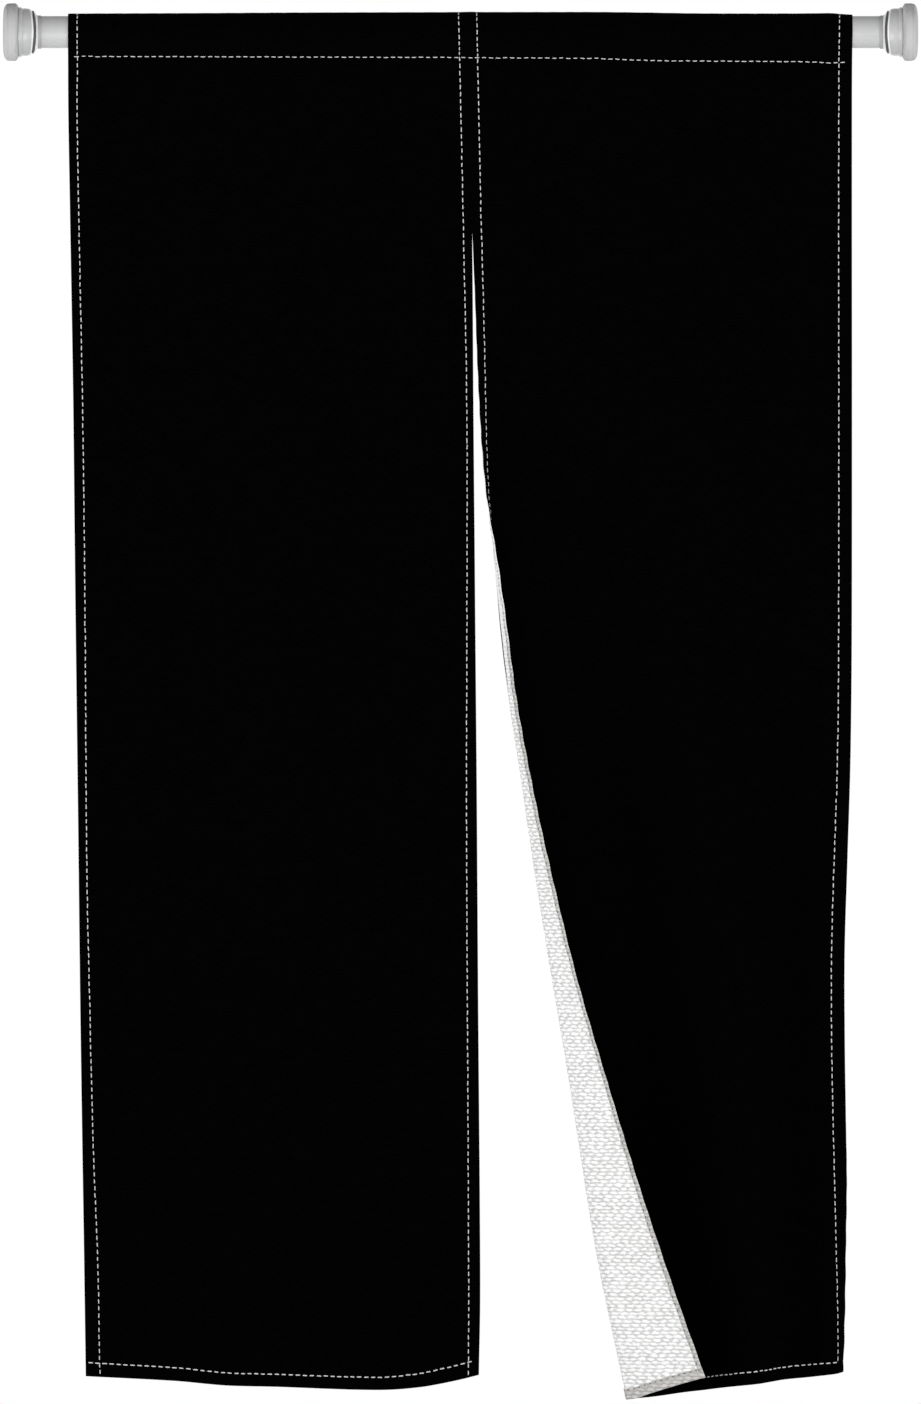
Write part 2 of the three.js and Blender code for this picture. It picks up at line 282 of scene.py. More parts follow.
LEFT = Panel(
    "left", "panel_left", -1, 435.5, LEFT_OUTER, LEFT_INNER, LEFT_FOLDS, LEFT_STITCH, LEFT_BOTTOM, 3
)
RIGHT = Panel(
    "right", "panel_right", 1, 417.0, RIGHT_OUTER, RIGHT_INNER, RIGHT_FOLDS, RIGHT_STITCH, RIGHT_BOTTOM, 8
)


def smoothstep(value, low, high):
    t = np.clip((value - low) / (high - low), 0, 1)
    return t * t * (3 - 2 * t)


def seam_gap(down):
    """How far apart the panels are: pressed together where they are sewn to each other, above the slit."""
    return SEAM_GAP * (2 * smoothstep(down, SEAM_END, SLIT_START) - 1)


def fold_height(folds, t):
    """Depth of the cross folds at t, for a depth of 1, with a half cosine between rows."""
    at, back = folds.rows[:, 0], folds.rows[:, 1]
    i = np.clip(np.searchsorted(at, t, side="right") - 1, 0, len(at) - 2)
    part = (t - at[i]) / (at[i + 1] - at[i])
    return back[i] + (back[i + 1] - back[i]) * (0.5 - 0.5 * np.cos(np.pi * part))


def wave(folds, start, end, depth):
    """The hanging part from the outer hem to the roll, as x, y and the length so far."""
    t = np.linspace(1, 0, 241)
    x, y = end + (start - end) * t, depth * fold_height(folds, t)
    steps = np.hypot(np.diff(x), np.diff(y))
    return x, y, np.concatenate([[0], np.cumsum(steps)])


def fold_depth(folds, start, end, length):
    """The fold depth at which the hanging part uses up that length of cloth."""
    low, high = 0.0, 80.0
    for _ in range(26):
        middle = (low + high) / 2
        if wave(folds, start, end, middle)[2][-1] > length:
            high = middle
        else:
            low = middle
    return low


def level(panel, share, across):
    """Points of one level section of the middle of the cloth, at these widths from the outer edge."""
    outer_down, inner_down = panel.depth(0, share), panel.depth(panel.width, share)
    curl = math.radians(max(panel.outer.at(outer_down, "curl"), 0))
    turn = math.radians(max(panel.inner.at(inner_down, "turn"), 0))
    radius = panel.inner.at(inner_down, "radius")
    flap = panel.inner.at(inner_down, "flap")
    outer_x = panel.side * panel.outer.at(outer_down, "x")
    inner_x = panel.side * panel.inner.at(inner_down, "x") + seam_gap(inner_down) / 2
    roll_x = inner_x + radius * math.sin(turn) + flap * math.cos(turn)
    wave_x = outer_x - CURL_LENGTH * math.cos(curl) - CURL_RADIUS * math.sin(curl)
    rest = panel.width - CURL_LENGTH - CURL_RADIUS * curl - radius * turn - flap
    settled = smoothstep(share, 0.008, 0.1)
    x, y, so_far = wave(panel.folds, wave_x, roll_x, settled * fold_depth(panel.folds, wave_x, roll_x, rest))
    ends = np.cumsum([CURL_LENGTH, CURL_RADIUS * curl, so_far[-1], radius * turn, flap])
    u = across * ends[-1] / panel.width

    hem_left = np.clip(CURL_LENGTH - u, 0, None)
    bend = np.clip(curl - np.clip(u - ends[0], 0, None) / CURL_RADIUS, 0, None)
    hem_x = wave_x + CURL_RADIUS * np.sin(bend) + hem_left * math.cos(curl)
    hem_y = CURL_RADIUS * (1 - np.cos(bend)) + hem_left * math.sin(curl)
    roll = np.clip((u - ends[2]) / radius, 0, turn)
    past = np.clip(u - ends[3], 0, None)
    roll_side_x = roll_x - radius * np.sin(roll) - past * math.cos(turn)
    roll_side_y = radius * (np.cos(roll) - 1) - past * math.sin(turn)

    hanging_x, hanging_y = (np.interp(u - ends[1], so_far, places) for places in (x, y))
    place_x = np.where(u < ends[1], hem_x, np.where(u < ends[2], hanging_x, roll_side_x))
    place_y = np.where(u < ends[1], hem_y, np.where(u < ends[2], hanging_y, roll_side_y))
    return np.stack([panel.side * place_x, place_y - LAYER_OFFSET, -panel.depth(across, share)], axis=1)


def pocket(panel, part, across):
    """Points of the cloth part of the way over the rod: 0 at the front stitching, 1 at the tail's end."""
    down, lift = panel.stitch.at(across, "down"), panel.stitch.at(across, "lift")
    radius = POCKET_RADIUS + lift
    reach = np.hypot(LAYER_OFFSET, down)
    touch = np.arccos(radius / reach) + np.arctan2(LAYER_OFFSET, down)
    straight = np.sqrt(reach**2 - radius**2)
    turn = 2 * np.pi - 2 * touch
    lengths = np.array([straight, radius * turn, straight, np.full_like(down, TAIL)])
    so_far = part * lengths.sum(axis=0)
    edges = np.cumsum(lengths, axis=0)

    angle = touch + np.clip((so_far - edges[0]) / radius, 0, turn)
    y, z = -radius * np.sin(angle), -radius * np.cos(angle)
    front = np.clip(1 - so_far / straight, 0, 1)
    y, z = y + (-LAYER_OFFSET - y) * front, z + (-down - z) * front
    back = np.clip((so_far - edges[1]) / straight, 0, 1)
    y, z = y + (LAYER_OFFSET - y) * back, z + (-down - z) * back
    z = z - np.clip(so_far - edges[2], 0, None)

    outer_x = panel.outer.at(-z, "x")
    inner_x = panel.inner.at(-z, "x") + panel.side * seam_gap(-z) / 2
    return np.stack([outer_x + (inner_x - outer_x) * across / panel.width, y, z], axis=1)


def ripples(panel, across, along):
    """Small unevenness of hung, hemmed cloth, in millimetres towards the front."""
    s = panel.seed
    below = BODY_LENGTH - along
    from_side = np.minimum(across, panel.width - across)
    gathers = 0.5 * np.exp(-np.abs(below) / 32) * np.sin(across / 3.4 + 1.8 * np.sin(across / 29 + s))
    hem_pucker = 0.35 * np.exp(-((from_side / 15) ** 2)) * np.sin(along / 5.1 + 1.7 * np.sin(along / 61 + s))
    foot = 0.45 * np.exp(-((along / 20) ** 2)) * np.sin(across / 4.6 + 1.6 * np.sin(across / 37 + 2 * s))
    hang = smoothstep(below, 30, 420)
    broad = 0.9 * np.sin(across / 23 + along / 260 + s) * np.sin(along / 97 + 0.6 * np.sin(across / 40))
    slack = 0.6 * np.sin(across / 11 - along / 150 + 2 * s) * np.sin(along / 46 + s)
    return gathers + hem_pucker + foot + hang * (broad + slack)


class Surface:
    """The middle of a panel's cloth as a fine grid, read by width from the outer edge and length from the
    foot."""

    def __init__(self, panel):
        self.across = np.linspace(0, panel.width, 211)
        body = np.linspace(0, BODY_LENGTH, 577)
        round_rod = np.linspace(0, 1, 71)[1:]
        self.along = np.concatenate([body, BODY_LENGTH + POCKET_LENGTH * round_rod])
        rows = [level(panel, 1 - a / BODY_LENGTH, self.across) for a in body]
        rows += [pocket(panel, part, self.across) for part in round_rod]
        points = np.array(rows)
        for _ in range(2):
            points[1:-1] = (points[:-2] + 2 * points[1:-1] + points[2:]) / 4
        self.side = panel.side
        small = ripples(panel, self.across[None, :], self.along[:, None])
        self.points = points + self.facing(points) * small[..., None]
        self.normals = self.facing(self.points)

    def facing(self, points):
        sideways = np.gradient(points, self.across, axis=1)
        upwards = np.gradient(points, self.along, axis=0)
        out = np.cross(sideways, upwards) * -self.side
        return out / np.linalg.norm(out, axis=-1, keepdims=True)

    def spot(self, across, along):
        """The point and the front's direction there, in millimetres."""
        across, along = np.broadcast_arrays(np.asarray(across, float), np.asarray(along, float))
        j = np.clip(np.searchsorted(self.across, across) - 1, 0, len(self.across) - 2)
        i = np.clip(np.searchsorted(self.along, along) - 1, 0, len(self.along) - 2)
        b = ((across - self.across[j]) / (self.across[j + 1] - self.across[j]))[..., None]
        a = ((along - self.along[i]) / (self.along[i + 1] - self.along[i]))[..., None]
        found = []
        for grid in (self.points, self.normals):
            low = grid[i, j] * (1 - b) + grid[i, j + 1] * b
            high = grid[i + 1, j] * (1 - b) + grid[i + 1, j + 1] * b
            found.append(low * (1 - a) + high * a)
        point, out = found
        return point, out / np.linalg.norm(out, axis=-1, keepdims=True)


def grid_across(panel, share):
    """Widths at which a row of the cloth's mesh has its points, closer together at the hems."""
    outer, inner = panel.outer_hem(share), panel.inner_hem(share)
    hem_end, hem_start = outer + HEM_PAST_STITCH, panel.width - inner - HEM_PAST_STITCH
    near = [0, EDGE_ROUND, outer * 0.35, outer * 0.7, outer - 1.2, outer, hem_end, hem_end + HEM_STEP]
    middle = np.linspace(hem_end + HEM_STEP, hem_start - HEM_STEP, 82)[1:-1]
    far = [inner + HEM_PAST_STITCH + HEM_STEP, inner + HEM_PAST_STITCH, inner, inner - 1.2, inner * 0.7]
    far += [inner * 0.35, EDGE_ROUND, 0]
    return np.concatenate([near, middle, panel.width - np.array(far)])


HEM_ROWS = (0, EDGE_ROUND, 3.5, 7.5, -1.2, 0, HEM_PAST_STITCH, HEM_PAST_STITCH + HEM_STEP)
HEM_ROWS_FROM_STITCH = 4


def grid_along(panel, across):
    """Lengths from the foot at which the columns at these widths have their points."""
    hem = panel.bottom.at(across, "hem")
    foot = [np.full_like(across, row) for row in HEM_ROWS[:HEM_ROWS_FROM_STITCH]]
    foot += [hem + row for row in HEM_ROWS[HEM_ROWS_FROM_STITCH:]]
    rest_start = hem + HEM_ROWS[-1]
    rest_end = BODY_LENGTH - HEMS_FULL
    body = [rest_start + (rest_end - rest_start) * t for t in np.linspace(0, 1, 308)[1:]]
    top = [np.full_like(across, BODY_LENGTH - d) for d in (HEMS_BEGIN, 7, 4.5, 2.2, 0)]
    over = [np.full_like(across, BODY_LENGTH + POCKET_LENGTH * t) for t in np.linspace(0, 1, 53)[1:]]
    over.insert(-1, over[-1] - EDGE_ROUND)
    return np.array(foot + body + top + over)


def cloth_grid(panel):
    """Width and length of cloth at each point of the mesh, both in millimetres, foot row first."""
    across = grid_across(panel, 0.5)
    along = grid_along(panel, across)
    share = np.clip(1 - along[:, 0] / BODY_LENGTH, 0, 1)
    across = np.array([grid_across(panel, s) for s in share])
    along = np.array([grid_along(panel, row)[i] for i, row in enumerate(across)])
    return across, along


def groove(distance):
    return GROOVE_DEPTH * np.exp(-((distance / GROOVE_WIDTH) ** 2))


def fold_line(panel, share):
    """The width at which the rolled edge has turned sideways, its outermost line as seen from the front."""
    down = panel.depth(panel.width, share)
    turned_past = np.radians(panel.inner.at(down, "turn")) - math.pi / 2
    return panel.width - panel.inner.at(down, "flap") - panel.inner.at(down, "radius") * turned_past


def cloth_skins(panel, across, along, hems):
    """How far the front and the reverse lie from the cloth's middle, and how much of that is a hem's second
    layer."""
    outer, inner, bottom = hems
    from_inner, below = panel.width - across, BODY_LENGTH - along
    reach = HEM_PAST_STITCH + HEM_TOLERANCE
    in_hem = (across < outer + reach) | (from_inner < inner + reach) | (along < bottom + reach)
    extra = HEM_EXTRA * in_hem * smoothstep(below, HEMS_BEGIN, HEMS_FULL)
    pulled = groove(across - outer) + groove(from_inner - inner) + groove(along - bottom) + groove(below)
    pulled = np.minimum(pulled, GROOVE_DEPTH)
    front = FRONT_SKIN - pulled
    reverse = REVERSE_SKIN + extra - pulled * (extra > 0)
    rim = np.zeros(across.shape, bool)
    rim[[0, -1], :] = True
    rim[:, [0, -1]] = True
    middle = (front - reverse) / 2
    front = np.where(rim, middle + HALF_RIM, front)
    reverse = np.where(rim, HALF_RIM - middle, reverse)
    return front, reverse, extra


def cloth_maps(panel, across, along, hems, share):
    """The cloth's own width and length as it hangs, then the place in a hem and how far past the fold."""
    outer, inner, bottom = hems
    hanging = panel.bottom.at(across, "down") - panel.stitch.at(across, "down")
    length = (np.minimum(along, BODY_LENGTH) - BODY_LENGTH) * (hanging / BODY_LENGTH)
    length = length + np.maximum(along, BODY_LENGTH)
    in_side = np.minimum(
        across / (outer + HEM_PAST_STITCH), (panel.width - across) / (inner + HEM_PAST_STITCH)
    )
    in_hem = np.clip(np.minimum(in_side, along / (bottom + HEM_PAST_STITCH)), 0, 1)
    past_fold = across - fold_line(panel, share)
    width = panel.width - across if panel.side > 0 else across
    return [width * MM / UV_SPAN, length * MM / UV_SPAN, in_hem, past_fold * MM]


def cloth_faces(rows, columns):
    """The corners of each face: front, reverse, the two side rims, the foot and the end of the tail."""
    f, r = np.arange(2 * rows * columns).reshape(2, rows, columns)
    corners = (
        (f[:-1, :-1], f[:-1, 1:], f[1:, 1:], f[1:, :-1]),
        (r[:-1, :-1], r[1:, :-1], r[1:, 1:], r[:-1, 1:]),
        (f[:-1, 0], f[1:, 0], r[1:, 0], r[:-1, 0]),
        (f[:-1, -1], r[:-1, -1], r[1:, -1], f[1:, -1]),
        (f[0, :-1], r[0, :-1], r[0, 1:], f[0, 1:]),
        (f[-1, :-1], f[-1, 1:], r[-1, 1:], r[-1, :-1]),
    )
    return np.concatenate([np.stack(four, axis=-1).reshape(-1, 4) for four in corners])


def cloth_looks(along, extra):
    """The material of each face: black in front to a little past the top, then the reverse and its hems."""
    black_ends = BODY_LENGTH + 0.5 * (POCKET_LENGTH - TAIL) + BLACK_PAST_TOP
    printed = (along[:-1, :-1] + along[1:, 1:]) / 2 < black_ends
    thick = (extra[:-1, :-1] > HEM_SHOWS) & (extra[1:, 1:] > HEM_SHOWS)
    columns = printed.shape[1]
    looks = [
        np.where(printed, BLACK, WHITE).ravel(),
        np.where(thick, HEM, WHITE).ravel(),
        np.where(printed[:, 0], BLACK, WHITE),
        np.where(printed[:, -1], BLACK, WHITE),
        np.full(columns, BLACK),
        np.full(columns, WHITE),
    ]
    return np.concatenate(looks).astype(np.int32)


def add_map(mesh, name, across, up, corners):
    """A UV map that is the same on the front and on the reverse."""
    places = np.stack([across, up], axis=-1).reshape(-1, 2)
    uv = mesh.uv_layers.new(name=name)
    uv.data.foreach_set("uv", np.concatenate([places, places])[corners].ravel())


def finished(name, mesh, materials, angle):
    """Puts a mesh made from points into the scene with its materials."""
    for look in materials:
        mesh.materials.append(look)
    piece = bpy.data.objects.new(name, mesh)
    bpy.context.collection.objects.link(piece)
    smooth(piece, angle)
    return piece


def cloth_panel(panel, surface, materials):
    """One closed sheet of cloth with thicker hems on the reverse, rounded edges, and the pocket over the
    rod."""
    across, along = cloth_grid(panel)
    share = np.clip(1 - along / BODY_LENGTH, 0, 1)
    hems = panel.outer_hem(share), panel.inner_hem(share), panel.bottom.at(across, "hem")
    front, reverse, extra = cloth_skins(panel, across, along, hems)
    maps = cloth_maps(panel, across, along, hems, share)
    point, out = surface.spot(across, along)
    points = np.stack([point + out * front[..., None], point - out * reverse[..., None]])
    if panel.side > 0:
        points = points[:, :, ::-1]
        extra, along, *maps = (grid[:, ::-1] for grid in (extra, along, *maps))

    corners = cloth_faces(*along.shape)
    mesh = bpy.data.meshes.new("cloth_" + panel.name)
    mesh.from_pydata((points.reshape(-1, 3) * MM).tolist(), [], corners.tolist())
    mesh.polygons.foreach_set("material_index", cloth_looks(along, extra))
    add_map(mesh, "cloth", *maps[:2], corners.ravel())
    add_map(mesh, "hem", *maps[2:], corners.ravel())
    return finished("cloth_" + panel.name, mesh, materials, 50)


def only(piece):
    """Selects this piece alone."""
    bpy.ops.object.select_all(action="DESELECT")
    piece.select_set(True)
    bpy.context.view_layer.objects.active = piece


def smooth(piece, angle):
    only(piece)
    bpy.ops.object.shade_smooth_by_angle(angle=math.radians(angle))


def stitch_shape():
    """One stitch, a length of plied thread 1 long and 1 wide that dips into the cloth at both ends."""
    bpy.ops.object.select_all(action="DESELECT")
    bpy.ops.mesh.primitive_cylinder_add(
        vertices=8, radius=0.5, depth=0.5, end_fill_type="NGON", rotation=(0, math.pi / 2, 0)
    )
    stitch = bpy.context.object
    bpy.ops.object.transform_apply(location=True, rotation=True, scale=True)
    bpy.ops.object.mode_set(mode="EDIT")
    for end in (-1, 1):
        for reach, narrowing, dip in ((0.16, 0.86, -0.14), (0.09, 0.6, -0.26)):
            bpy.ops.mesh.select_all(action="DESELECT")
            bpy.ops.object.mode_set(mode="OBJECT")
            far = max(end * v.co.x for v in stitch.data.vertices)
            for face in stitch.data.polygons:
                face.select = end * face.center.x > far - 1e-4
            bpy.ops.object.mode_set(mode="EDIT")
            bpy.ops.mesh.extrude_region_move(TRANSFORM_OT_translate={"value": (end * reach, 0, dip)})
            bpy.ops.transform.resize(value=(1, narrowing, narrowing))
    bpy.ops.mesh.select_all(action="SELECT")
    bpy.ops.mesh.normals_make_consistent(inside=False)
    bpy.ops.object.mode_set(mode="OBJECT")
    return stitch


def seam(surface, route, lay, offset, length, skin, front, chance):
    """Where the stitches of one seam lie: centres, directions, outward directions and lengths, in
    millimetres. route is points of width and length of cloth, lay the share of a pitch before the first
    stitch's place."""
    across, along = route[:, 0], route[:, 1]
    point, _ = surface.spot(across, along)
    so_far = np.concatenate([[0], np.cumsum(np.linalg.norm(np.diff(point, axis=0), axis=1))])
    count = int((so_far[-1] - lay * PITCH) // PITCH)
    centres = (np.arange(count) + 0.5 + lay) * PITCH + chance.normal(0, 0.12, count)
    lengths = length * (1 + chance.normal(0, 0.05, count))

    def at(distance):
        return np.interp(distance, so_far, across), np.interp(distance, so_far, along)

    start, _ = surface.spot(*at(centres - lengths / 2))
    end, _ = surface.spot(*at(centres + lengths / 2))
    middle, out = surface.spot(*at(centres))
    out = out if front else -out
    direction = (end - start) / np.linalg.norm(end - start, axis=1, keepdims=True)
    out = out - direction * np.sum(out * direction, axis=1, keepdims=True)
    out /= np.linalg.norm(out, axis=1, keepdims=True)
    sideways = np.cross(out, direction)
    slant = chance.normal(0, 0.035, count)[:, None]
    direction = direction + sideways * slant
    direction /= np.linalg.norm(direction, axis=1, keepdims=True)
    sideways = np.cross(out, direction)
    centre = (middle + (start + end) / 2) / 2 + out * skin
    centre = centre + sideways * (offset + chance.normal(0, 0.12, count))[:, None]
    return centre, direction, sideways, out, lengths


def seams(panel, surface, chance):
    """The stitches of every seam and their width, and how many of the seams are the front's, which come
    first."""
    alongs = np.linspace(END_CLEAR, BODY_LENGTH + POCKET_LENGTH - END_CLEAR, 700)
    share = np.clip(1 - alongs / BODY_LENGTH, 0, 1)
    acrosses = np.linspace(END_CLEAR, panel.width - END_CLEAR, 220)
    foot = panel.bottom.at(acrosses, "hem")
    outer = np.stack([panel.outer_hem(share), alongs], axis=1)
    inner = np.stack([panel.width - panel.inner_hem(share), alongs], axis=1)
    hem = np.stack([acrosses, foot], axis=1)
    if panel.side > 0:
        hem = hem[acrosses > panel.outer_hem(0.995) - 0.5]
        outer = outer[alongs > foot[0]]
    from_seam = np.linspace(panel.width, 0.4, 220)
    head = np.stack([from_seam, np.full_like(from_seam, BODY_LENGTH)], axis=1)
    tail = np.stack([from_seam, np.full_like(from_seam, BODY_LENGTH + POCKET_LENGTH - TAIL)], axis=1)
    head_lay = LEFT_HEAD_LAY if panel is LEFT else RIGHT_HEAD_LAY

    found = []

    def sew(route, width, lay, skin, length=STITCH_LENGTH, offset=0, front=True):
        found.append((seam(surface, route, lay, offset, length, skin, front, chance), width))

    def sew_dots(route, skin, front):
        sew(route, BACK_STITCH_WIDTH, 0.5, skin, BACK_STITCH_LENGTH, 0, front)

    lies_on, lies_in = FRONT_SKIN, FRONT_SKIN - THREAD_SUNK
    sew(outer, STITCH_WIDTH, 0, lies_in)
    sew(inner, STITCH_WIDTH, 0, lies_in)
    sew(hem, FOOT_STITCH_WIDTH, 0, lies_in)
    sew(head, STITCH_WIDTH, head_lay, lies_in)
    if panel is LEFT:
        from_restart = np.abs(panel.depth(panel.width, share) - RESTART_DEPTH)
        sew(inner[from_restart < RESTART_REACH], STITCH_WIDTH, 0.5, lies_on)
        sew(inner[from_restart < KNOT_REACH], STITCH_WIDTH, 0, lies_on, KNOT_LENGTH, KNOT_OFFSET)
    in_front = len(found)
    for route in (outer, inner):
        sew_dots(route[route[:, 1] < BODY_LENGTH - HEMS_FULL], HEM_SKIN - DOTS_SUNK, False)
    sew_dots(hem, HEM_SKIN - DOTS_SUNK, False)
    sew_dots(tail, lies_in, True)
    return found, in_front


def stitching(panel, surface, shape, threads):
    """All the thread of one panel as one mesh: dashes on the front, short dots on the reverse."""
    found, in_front = seams(panel, surface, np.random.default_rng(panel.seed))
    template = np.array([v.co for v in shape.data.vertices])
    template_faces = [list(p.vertices) for p in shape.data.polygons]
    vertices, lengthways, looks = [], [], []
    for number, ((centre, direction, sideways, out, lengths), width) in enumerate(found):
        for c, d, s, o, length in zip(centre, direction, sideways, out, lengths):
            local = template * np.array([length, width, STITCH_HEIGHT])
            vertices.append(c + local @ np.stack([d, s, o]))
            lengthways.append(template[:, 0] * length)
            # Material 1, for the dots on the reverse, is dark grey thread standing in for their shadows:
            # painted shade
            looks += [int(number >= in_front)] * len(template_faces)
    count = len(template)
    faces = [[k * count + v for v in face] for k in range(len(vertices)) for face in template_faces]
    mesh = bpy.data.meshes.new("thread_" + panel.name)
    mesh.from_pydata((np.concatenate(vertices) * MM).tolist(), [], faces)
    mesh.polygons.foreach_set("material_index", np.array(looks, np.int32))
    round_thread = np.arctan2(template[:, 1], template[:, 2]) / (2 * np.pi)
    places = np.stack([np.concatenate(lengthways), np.tile(round_thread, len(vertices))], axis=1)
    corners = np.array([v for face in faces for v in face])
    uv = mesh.uv_layers.new(name="thread")
    uv.data.foreach_set("uv", places[corners].ravel())
    return finished("thread_" + panel.name, mesh, threads, 60)


# Cap profiles from the wall inwards: distance from the wall and radius, in millimetres
PAD = ((0, 17), (0.25, 21), (0.7, 24.5), (1.6, 27.5), (3.1, 29.9), (4.9, 31.1), (5.3, 30.7))
PAD += ((5.8, 30.7), (6.2, 31.3), (13.6, 31.3), (14.6, 30.6), (16.4, 28.2))
CAP = ((16.7, 27.2), (19.4, 27), (20.4, 26.2), (21.2, 26.1), (21.7, 25.4), (22.3, 25.9), (27.4, 25.6))
CAP += ((29.4, 24.9), (30.5, 24), (31, 23.2), (31, 17.7), (26, 17.7))
RING = ((31.3, 17.7), (31.3, 22.7), (31.7, 23.3), (32.3, 23.5), (33, 23.2), (33.4, 22.5), (33.4, 17.7))
COLLAR = ((33.7, 17.7), (33.7, 21.4), (34.1, 21.5), (34.6, 20.4), (35, 19.2), (35.5, 18.8), (37.1, 18.7))
COLLAR += ((37.4, 18), (37.7, 17.95), (37.9, 18.15), (40.9, 18.1), (41.1, 17.9), (41.1, 17.7))
# Painted highlight: from here to the ring, each cap's rounded lip takes the collar's near-white paint
LIP_HIGHLIGHT_START = 29.2
# Painted shade: from here on, the collar's sleeve takes a darker grey
SLEEVE_SHADE_START = 37.5


def extrude_to(x, radius, from_x, from_radius, ring):
    """Carries the selected loop or face on to the next place of a turned profile."""
    carry = bpy.ops.mesh.extrude_edges_move if ring else bpy.ops.mesh.extrude_region_move
    carry(TRANSFORM_OT_translate={"value": (x - from_x, 0, 0)})
    grow = radius / from_radius
    bpy.ops.transform.resize(value=(1, grow, grow), center_override=(x, 0, 0))


def turned(name, profile, ring=False, right=False, bevel=0.0003):
    """A piece turned about the rod's axis, from a disc, or from a loop where it is a closed ring."""
    places = [((SPAN - x * MM) if right else x * MM, r * MM) for x, r in profile]
    bpy.ops.object.select_all(action="DESELECT")
    bpy.ops.mesh.primitive_circle_add(
        vertices=TURNED_SIDES,
        radius=places[0][1],
        fill_type="NOTHING" if ring else "NGON",
        location=(places[0][0], 0, 0),
        rotation=(0, math.pi / 2, 0),
    )
    piece = bpy.context.object
    piece.name = piece.data.name = name
    bpy.ops.object.transform_apply(location=True, rotation=True, scale=True)
    bpy.ops.object.mode_set(mode="EDIT")
    bpy.ops.mesh.select_all(action="SELECT")
    stops = places[1:] + places[:1] if ring else places[1:]
    for before, after in zip(places, stops):
        extrude_to(*after, *before, ring)
    bpy.ops.mesh.select_all(action="SELECT")
    bpy.ops.mesh.remove_doubles(threshold=1e-6)
    bpy.ops.mesh.normals_make_consistent(inside=False)
    bpy.ops.object.mode_set(mode="OBJECT")
    finish_edges(piece, bevel)
    bow(piece, right)
    return piece


def bowed(from_wall, z):
    """How far a cap's end bows away from the wall there, in millimetres, z in metres."""
    share = smoothstep(from_wall, 22.7, 31) * (1 - 0.8 * smoothstep(from_wall, 34.6, 37.7))
    height = z / MM / BOW_RADIUS
    return BOW * share * max(0, 1 - height * height)


def bow(piece, right):
    """Bows the cap's inner end a little towards the cloth at front and back, where the ring sits."""
    for vertex in piece.data.vertices:
        from_wall = (SPAN - vertex.co.x if right else vertex.co.x) / MM
        shift = bowed(from_wall, vertex.co.z) * MM
        vertex.co.x += -shift if right else shift


def finish_edges(piece, width):
    """Rounds the sharp edges a little and shades the rest smooth."""
    only(piece)
    rounding = piece.modifiers.new("rounding", "BEVEL")
    rounding.width = width
    rounding.segments = 2
    rounding.limit_method = "ANGLE"
    rounding.angle_limit = math.radians(28)
    bpy.ops.object.modifier_apply(modifier="rounding")
    smooth(piece, 30)


def tube():
    """The rod: a plain painted tube, open at both ends inside the caps."""
    length = SPAN - 2 * TUBE_END
    bpy.ops.object.select_all(action="DESELECT")
    bpy.ops.mesh.primitive_cylinder_add(
        vertices=TURNED_SIDES,
        radius=TUBE_RADIUS,
        depth=length,
        end_fill_type="NGON",
        location=(SPAN / 2, 0, 0),
        rotation=(0, math.pi / 2, 0),
    )
    piece = bpy.context.object
    piece.name = piece.data.name = "tube"
    bpy.ops.object.transform_apply(location=True, rotation=True, scale=True)
    bpy.ops.object.mode_set(mode="EDIT")
    bpy.ops.mesh.select_mode(type="FACE")
    bpy.ops.mesh.select_all(action="DESELECT")
    bpy.ops.object.mode_set(mode="OBJECT")
    for face in piece.data.polygons:
        face.select = abs(face.normal.x) > 0.9
    bpy.ops.object.mode_set(mode="EDIT")
    bpy.ops.mesh.inset(thickness=TUBE_WALL)
    bpy.ops.mesh.bridge_edge_loops()
    bpy.ops.mesh.select_all(action="SELECT")
    bpy.ops.mesh.normals_make_consistent(inside=False)
    bpy.ops.mesh.select_mode(type="VERT")
    bpy.ops.object.mode_set(mode="OBJECT")
    finish_edges(piece, 0.0002)
    return piece


def grey(value, warm=0.0):
    """A linear colour near grey, warmer or cooler by a share."""
    return (value * (1 + warm), value, value * (1 - warm), 1)


# Scales of the cloth's unevenness, per metre of its width and length
DRIFT_SCALE = 170.0
WORN_SCALE = (190.0, 560.0, 1.0)
YARN_SCALE = (260.0, 1300.0, 1.0)
STAIN_SCALE = (150.0, 380.0, 1.0)
EVEN = (1.0, 1.0, 1.0)

# Where the cloth's looks change: weave height, share of a hem, metres past the fold, and metres of height
YARN_SHOWS = (0.12, 0.9)
# Painted shade: the share of a hem over which it darkens towards its stitching
SHADE_BY_STITCHING = (0.4, 0.8)
BEHIND_FOLD = (-0.03, 0.0)
ON_FLAP = (0.0, 0.002)
# Painted shade line along the fold: its place past the fold's outermost line, and how it fades beside it
PAINTED_SHADE_LINE = 0.0024
PAINTED_SHADE_LINE_FADES = (0.0024, 0.0035)
# Heights over which hems are painted pale, with no painted shade, and over which the turned part is painted
# paler as painted light where it stands edge-on
HEMS_PALE_OVER = (-0.7, -0.56)
FLAP_PAINTED_LIGHT_OVER = (-0.76, -0.62)
# Painted shade line along the fold: the height it centres on, and how it fades above and below
PAINTED_SHADE_DEPTH = -0.66
PAINTED_SHADE_FADES = (0.02, 0.065)
PALE_HEM_GAP, PALE_HEM_YARN = grey(0.84), grey(0.94)

TWISTS_PER_MM = 0.9
PLIES = 2.0


def node(tree, kind, **settings):
    made = tree.nodes.new("ShaderNode" + kind)
    for name, value in settings.items():
        setattr(made, name, value)
    return made


def feed(tree, socket, value):
    """Puts a number, a colour or another node's output into a socket."""
    if isinstance(value, bpy.types.NodeSocket):
        tree.links.new(value, socket)
    else:
        socket.default_value = value


